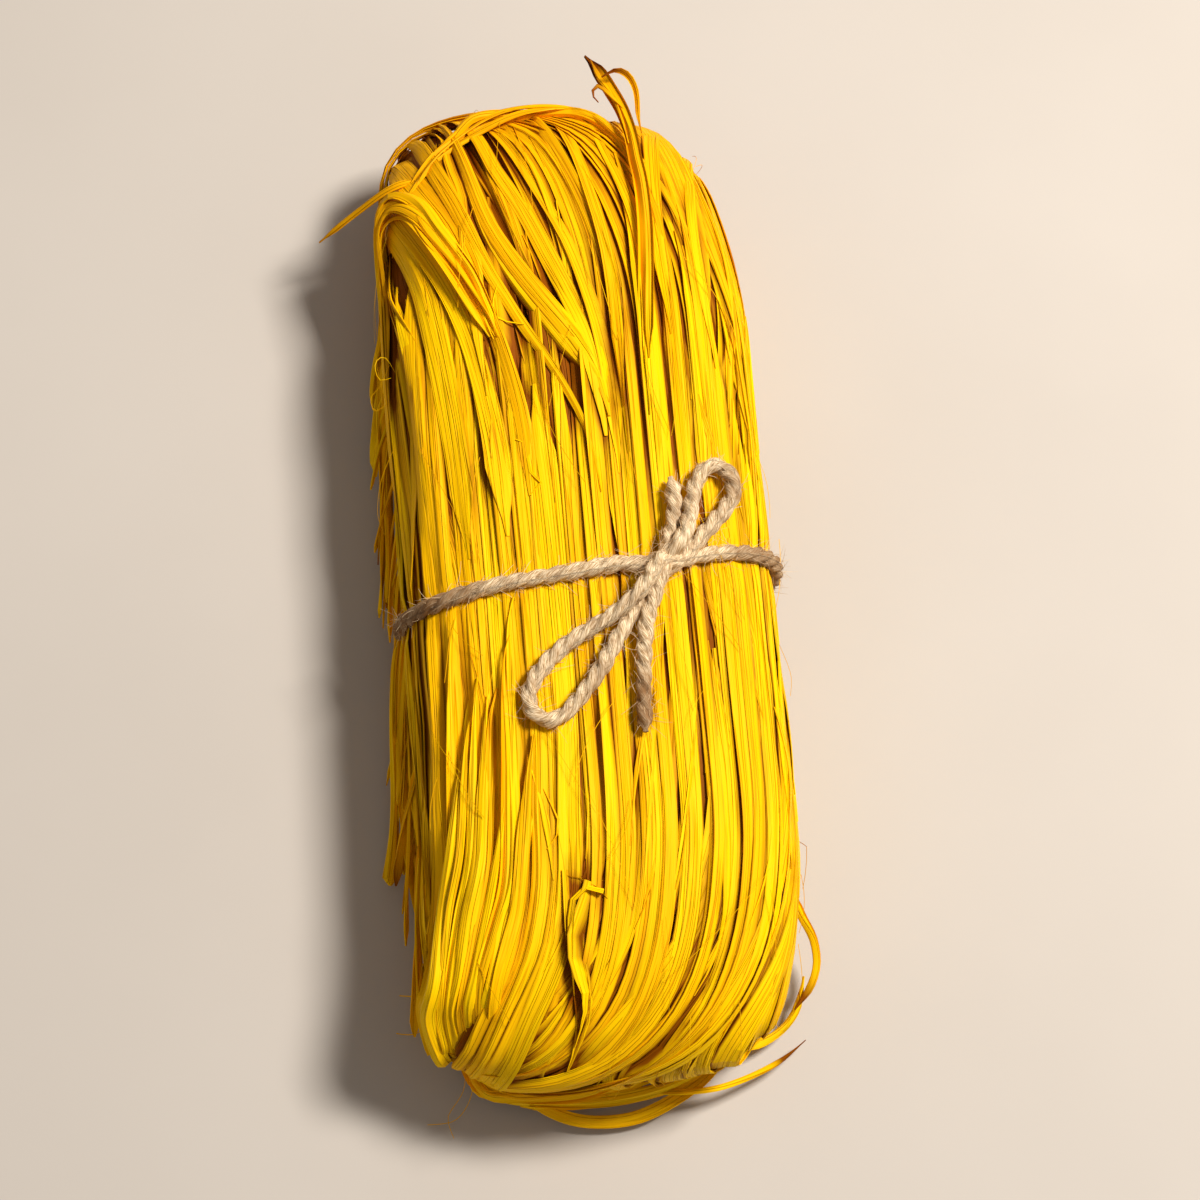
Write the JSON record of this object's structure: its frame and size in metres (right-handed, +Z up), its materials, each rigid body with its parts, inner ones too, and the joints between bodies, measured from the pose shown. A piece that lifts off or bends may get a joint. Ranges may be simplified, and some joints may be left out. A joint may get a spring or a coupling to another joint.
{
  "type": "raffia hank",
  "caption": "Hank of dyed yellow raffia strands, wound lengthwise into a flat bundle and tied round the middle with jute twine in a bow.",
  "frame": {"origin": "middle of the strands' own box, on the surface that the hank lies on", "axes": "+Y along the hank towards the end with the standing-up spike, +X to the right seen from above, +Z up"},
  "size_m": [0.0912, 0.2178, 0.0445],
  "materials": {
    "raffia_yellow": "dyed raffia strip, satin, finely ribbed along its length",
    "raffia_shaded": "dyed raffia strip on the shaded side, satin",
    "raffia_tip": "dyed raffia strip with a dry brown tip",
    "jute_twine": "natural jute twine, twisted, dull and hairy"
  },
  "bodies": {
    "root": {"wound_strands": "raffia_yellow", "near_left_fold": "raffia_yellow", "far_curl": "raffia_yellow", "far_spike": "raffia_yellow", "far_left_tip": "raffia_yellow", "near_loop_strand": "raffia_yellow", "right_loop_strand": "raffia_yellow", "left_end_far": "raffia_shaded", "left_end_middle": "raffia_shaded", "left_end_long": "raffia_shaded", "left_end_near": "raffia_shaded", "near_tip_strand": "raffia_tip", "twine_band": "jute_twine", "twine_knot": "jute_twine", "twine_near_loop": "jute_twine", "twine_far_loop": "jute_twine", "twine_long_tail": "jute_twine", "twine_short_tail": "jute_twine"}
  },
  "joints": []
}
